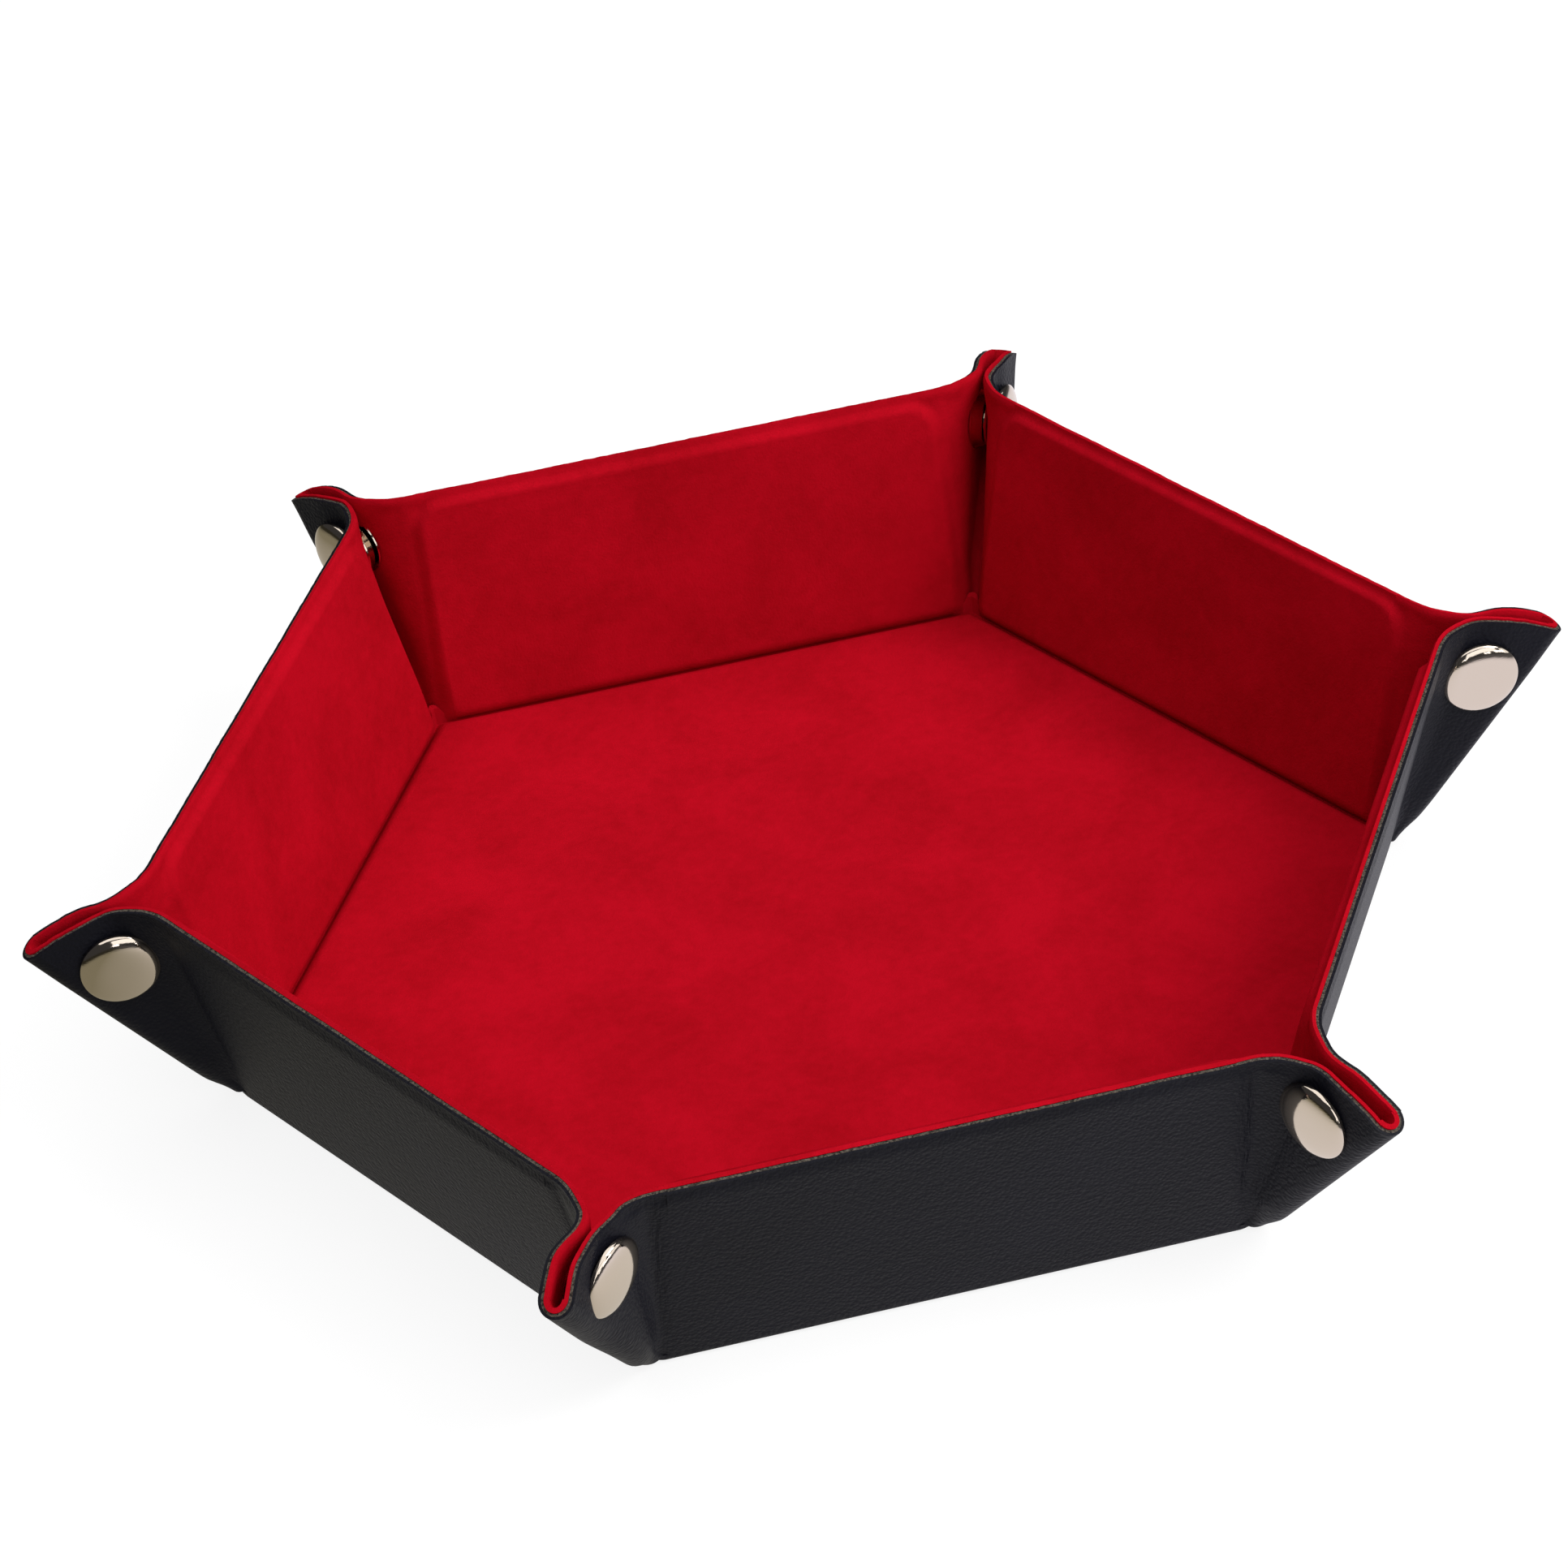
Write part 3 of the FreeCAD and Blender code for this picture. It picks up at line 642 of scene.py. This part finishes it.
def polished_nickel():
    """Nickel-plated pressed brass, polished: a slightly warm mirror with hairline polish."""
    material, tree = new_material("polished_nickel_plate")
    place = add(tree, "ShaderNodeTexCoord")
    polish = add(tree, "ShaderNodeTexNoise", {"Scale": 900.0, "Detail": 3.0},
                 {"Vector": place.outputs["Object"]})
    rough = add(tree, "ShaderNodeMapRange", {"To Min": 0.05, "To Max": 0.11},
                {"Value": polish.outputs["Fac"]})
    drawn = add(tree, "ShaderNodeMapping", {"Scale": (1.0, 1.0, 9.0)}, {"Vector": place.outputs["Object"]})
    hairs = add(tree, "ShaderNodeTexNoise", {"Scale": 700.0, "Detail": 2.0},
                {"Vector": drawn.outputs["Vector"]})
    bump = add(tree, "ShaderNodeBump", {"Strength": 0.12, "Distance": 0.00005},
               {"Height": hairs.outputs["Fac"]})
    shader = add(tree, "ShaderNodeBsdfPrincipled", {"Base Color": linear("d0c3b5"), "Metallic": 1.0},
                 {"Roughness": rough.outputs["Result"], "Normal": bump.outputs["Normal"]})
    finish_material(tree, shader)
    return material


def greyboard():
    """Recycled greyboard: matt grey-brown with short fibres."""
    material, tree = new_material("greyboard")
    place = add(tree, "ShaderNodeTexCoord")
    fibres = add(tree, "ShaderNodeTexNoise", {"Scale": 700.0, "Detail": 4.0},
                 {"Vector": place.outputs["Object"]})
    tone = blend_of(tree, fibres.outputs["Fac"], "736a5f", "94897b")
    shader = add(tree, "ShaderNodeBsdfPrincipled", {"Roughness": 0.95},
                 {"Base Color": tone.outputs["Color"]})
    finish_material(tree, shader)
    return material


# ---------------------------------------------------------------------- press studs

def spun(name, outline, steps=64):
    """A closed turned shape: (radius, height) points spun about the Z axis."""
    bpy.ops.object.select_all(action="DESELECT")
    mesh = bpy.data.meshes.new(name)
    obj = bpy.data.objects.new(name, mesh)
    bpy.context.collection.objects.link(obj)
    ring = [(r * MM, 0.0, h * MM) for r, h in outline]
    closed = outline[0][0] > 0
    edges = [(i, i + 1) for i in range(len(ring) - 1)] + ([(len(ring) - 1, 0)] if closed else [])
    mesh.from_pydata(ring, edges, [])
    bpy.context.view_layer.objects.active = obj
    obj.select_set(True)
    bpy.ops.object.mode_set(mode="EDIT")
    bpy.ops.mesh.select_all(action="SELECT")
    bpy.ops.mesh.spin(steps=steps, angle=math.tau, center=(0, 0, 0), axis=(0, 0, 1))
    bpy.ops.mesh.select_all(action="SELECT")
    bpy.ops.mesh.remove_doubles(threshold=1e-6)
    bpy.ops.mesh.normals_make_consistent(inside=False)
    bpy.ops.object.mode_set(mode="OBJECT")
    return obj


def press_stud_half(kind):
    """One half of a press stud, at the origin, its axis up the flap's own W."""
    low = -HALF_LEATHER
    radius, rim, rise = 6.25, 0.45, 1.4
    shoulder = [(radius * r, low - rim - rise * (1 - r ** 2.9) ** 0.62)
                for r in np.sin(np.linspace(0, math.pi / 2, 28))]
    cap = spun("cap", shoulder + [(radius, low - 0.05), (radius - 0.15, low), (0.0, low)])
    top = VELVET_FACE
    if kind == "socket":
        inside = spun("socket", [(1.6, top), (5.2, top), (5.25, top + 0.25), (5.0, top + 0.5), (4.5, top + 1.7),
                                 (4.25, top + 1.95), (3.6, top + 2.0), (2.9, top + 1.9), (2.8, top + 1.5),
                                 (3.4, top + 1.45), (3.4, top + 0.75), (2.8, top + 0.7), (2.8, top + 0.25),
                                 (1.6, top + 0.25)])
    else:
        inside = spun("stud", [(1.6, top), (4.8, top), (4.9, top + 0.2), (4.8, top + 0.38), (2.5, top + 0.4),
                               (2.25, top + 0.6), (2.25, top + 1.0), (2.5, top + 1.35), (2.5, top + 1.75),
                               (2.3, top + 2.05), (1.95, top + 2.1), (1.9, top + 0.25), (1.6, top + 0.25)])
    post = spun("post", [(1.1, low), (1.5, low), (1.5, top + 0.25), (1.85, top + 0.28), (1.85, top + 0.45),
                         (1.5, top + 0.5), (1.1, top + 0.45)], 32)
    pieces = [cap, inside, post]
    if kind == "socket":
        bpy.ops.object.select_all(action="DESELECT")
        bpy.ops.mesh.primitive_torus_add(major_radius=3.05 * MM, minor_radius=0.25 * MM, major_segments=48,
                                         minor_segments=10, location=(0, 0, (top + 1.1) * MM))
        pieces.append(bpy.context.object)
    bpy.ops.object.select_all(action="DESELECT")
    for piece in pieces:
        piece.select_set(True)
    bpy.context.view_layer.objects.active = cap
    bpy.ops.object.join()
    bpy.ops.object.transform_apply(location=True, rotation=True, scale=True)
    for loop_layer in list(cap.data.uv_layers):
        cap.data.uv_layers.remove(loop_layer)
    sharp_by_angle(cap, 40)
    return cap


# -------------------------------------------------------------------------- assembly

LAYERS = {"velvet": "lining", "leather": "leather"}
finishes = {"leather": [black_leathercloth(), knitted_backing()], "velvet": [red_velvet()]}
walls = [Wall(name) for name in WALLS]


def cloth(name, grids, layer):
    obj = shell(name, *grids, finishes[layer], SKIN / LEATHER if layer == "leather" else 0.5)
    return obj


def make_cloth():
    for layer, word in LAYERS.items():
        grids = floor_piece(layer)
        floor = cloth(f"floor_{word}_sheet", grids, layer)
        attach(floor, "floor")
        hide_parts(f"floor_{word}")
        for number, wall in enumerate(walls):
            make_wall_cloth(wall, number, layer, word)


def make_wall_cloth(wall, number, layer, word):
    grids = wall_piece(wall, number, layer)
    panel = cloth(f"{wall.name}_wall_{word}_sheet", grids, layer)
    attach(panel, f"{wall.name}_wall")
    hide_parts(f"{wall.name}_wall_{word}")
    strip = cloth(f"{wall.name}_fold_{word}_strip", fold_piece(wall, number, layer), layer)
    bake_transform(strip)
    for kind, side in SIDES.items():
        flap = f"{wall.name}_{kind}_flap"
        grids = flap_piece(wall, number, side, layer)
        piece = cloth(f"{flap}_{word}_sheet", grids, layer)
        before = wall.flap_spot(side, -2.5, 20.0)
        beyond = wall.flap_spot(side, 2.5, 20.0)
        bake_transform(piece)
        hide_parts(f"{flap}_{word}")
        lip = cloth(f"{flap}_{word}_lip", lip_piece(wall, number, side, layer), layer)
        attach(lip, flap)
        plane = wall.flap_spot(side, 20.0, 30.0)
        facing = wall.flap_spot(side, 20.0, 30.0, 1.0) - plane
        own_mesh(lip)


def make_press_studs():
    nickel = polished_nickel()
    masters = {kind: press_stud_half(kind) for kind in SIDES}
    for master in masters.values():
        master.data.materials.clear()
        master.data.materials.append(nickel)
    for wall in walls:
        for kind, side in SIDES.items():
            centre = wall.flap_spot(side, STUD_ACROSS, STUD_ALONG)
            u = side * (wall.flap_spot(side, STUD_ACROSS + 1.0, STUD_ALONG) - centre)
            u = u / np.linalg.norm(u)
            v = wall.flap_spot(side, STUD_ACROSS, STUD_ALONG + 1.0) - centre
            w = np.cross(u, v)
            place = Matrix.Identity(4)
            for column, axis in enumerate((u, v, w)):
                for row in range(3):
                    place[row][column] = axis[row]
                    place[row][3] = centre[row] * MM
            mesh = masters[kind].data.copy()
            mesh.transform(place)
            half = bpy.data.objects.new(f"{wall.name}_{kind}_press_stud", mesh)
            bpy.context.collection.objects.link(half)
            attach(half, f"{wall.name}_{kind}_flap")
            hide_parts(f"{wall.name}_snap_{kind}")
    for master in masters.values():
        bpy.data.objects.remove(master)


def finish_boards():
    card = greyboard()
    for node in ["floor_board"] + [f"{wall.name}_wall_board" for wall in walls]:
        obj = frame["nodes"][node]
        obj.data.materials.clear()
        obj.data.materials.append(card)


# ------------------------------------------------------------------------------- stage

def lit_from_below(tree, place, centre, near, far, strongest, weakest):
    """How strongly the table is lit: strongest near the centre, fading smoothly to far away."""
    away = add(tree, "ShaderNodeVectorMath", {"operation": "DISTANCE", 1: centre},
               {0: place.outputs["Object"]})
    return add(tree, "ShaderNodeMapRange",
               {"interpolation_type": "SMOOTHSTEP", "From Min": near, "From Max": far,
                "To Min": strongest, "To Max": weakest}, {"Value": away.outputs["Value"]})


def table_plane(name, height):
    """A wide plane just under the tray."""
    bpy.ops.object.select_all(action="DESELECT")
    bpy.ops.mesh.primitive_plane_add(size=12.0, location=(0, 0, height))
    bpy.context.object.name = name
    return bpy.context.object


def set_stage():
    """White paper lit from below around the tray, so that shadows on it stay faint."""
    ground = table_plane("table_top", -0.0002)
    material, tree = new_material("white_light_table")
    place = add(tree, "ShaderNodeTexCoord")
    lit = lit_from_below(tree, place, (0.0, 0.13, 0.0), 0.34, 0.62, 0.85, 0.16)
    shader = add(tree, "ShaderNodeBsdfPrincipled",
                 {"Base Color": linear("7f7f7f"), "Roughness": 0.9, "Specular IOR Level": 0.0,
                  "Emission Color": linear("ffffff")}, {"Emission Strength": lit.outputs["Result"]})
    finish_material(tree, shader)
    ground.data.materials.append(material)
    ground.visible_glossy = False

    # What gloss mirrors of the table: in the tray's own shade on the left, bright on the right.
    mirrored = table_plane("table_top_in_gloss", -0.0004)
    material, tree = new_material("shaded_light_table")
    place = add(tree, "ShaderNodeTexCoord")
    split = add(tree, "ShaderNodeSeparateXYZ", links={"Vector": place.outputs["Object"]})
    across = add(tree, "ShaderNodeMapRange", {"From Min": -0.13, "From Max": 0.10},
                 {"Value": split.outputs["X"]})
    tone = blend_of(tree, across.outputs["Result"], "8e8a76", "fbf8ff")
    middle = tone.color_ramp.elements.new(0.5)
    middle.color = linear("e4e1dc")
    lit = lit_from_below(tree, place, (0.0, 0.0, 0.0), 0.20, 0.36, 1.1, 0.12)
    glow = add(tree, "ShaderNodeEmission",
               links={"Color": tone.outputs["Color"], "Strength": lit.outputs["Result"]})
    add(tree, "ShaderNodeOutputMaterial", links={"Surface": glow.outputs["Emission"]})
    mirrored.data.materials.append(material)
    mirrored.visible_camera = mirrored.visible_diffuse = mirrored.visible_shadow = False


def soft_light(name, size, power, azimuth, elevation, distance, colour="ffffff"):
    """A softbox in a compass direction from the tray, turned towards it."""
    light = bpy.data.lights.new(name, "AREA")
    light.shape = "RECTANGLE"
    light.size, light.size_y = size
    light.energy = power
    light.color = linear(colour)[:3]
    obj = bpy.data.objects.new(name, light)
    turn, rise = math.radians(azimuth), math.radians(elevation)
    obj.location = distance * Vector((math.cos(turn) * math.cos(rise), math.sin(turn) * math.cos(rise),
                                      math.sin(rise)))
    obj.rotation_euler = (-obj.location).to_track_quat("-Z", "Y").to_euler()
    bpy.context.collection.objects.link(obj)


def set_lights():
    world = bpy.data.worlds.new("studio")
    bpy.context.scene.world = world
    world.use_nodes = True
    tree = world.node_tree
    tree.nodes.clear()
    back = add(tree, "ShaderNodeBackground", {"Color": (0.05, 0.05, 0.052, 1.0), "Strength": 1.0})
    add(tree, "ShaderNodeOutputWorld", links={"Surface": back.outputs["Background"]})
    soft_light("overhead", (2.2, 2.2), 21.0, 0, 89.9, 1.3)
    soft_light("key", (0.6, 0.6), 8.0, -20, 45, 1.3)
    soft_light("fill", (1.4, 0.7), 5.0, -70, 28, 1.4)
    soft_light("fill_right", (0.8, 0.5), 1.6, -15, 15, 1.4)
    soft_light("glint_front", (0.16, 0.07), 0.14, -95, 10, 1.1)
    soft_light("glint_right", (0.16, 0.07), 0.14, -62, 10, 1.1)
    soft_light("glint_far_right", (0.5, 0.12), 0.9, -38, 12, 1.2)


def set_camera():
    azimuth, elevation, roll = (math.radians(a) for a in (-10.09, 37.35, -5.85))
    aim, distance = Vector((0.00530, 0.04769, 0.0)), 0.97055
    back = Vector((math.sin(azimuth) * math.cos(elevation), -math.cos(azimuth) * math.cos(elevation),
                   math.sin(elevation)))
    right = Vector((0, 0, 1)).cross(back).normalized()
    up = back.cross(right)
    rolled_right = right * math.cos(roll) + up * math.sin(roll)
    rolled_up = up * math.cos(roll) - right * math.sin(roll)
    camera = bpy.data.objects.new("camera", bpy.data.cameras.new("camera"))
    camera.data.sensor_width = 36.0
    camera.data.lens = 134.12
    turned = Matrix((rolled_right, rolled_up, back)).transposed().to_4x4()
    camera.matrix_world = Matrix.Translation(aim + back * distance) @ turned
    bpy.context.collection.objects.link(camera)
    bpy.context.scene.camera = camera


set_camera()
make_cloth()
make_press_studs()
finish_boards()
set_stage()
set_lights()
bpy.context.scene.view_settings.view_transform = "Standard"
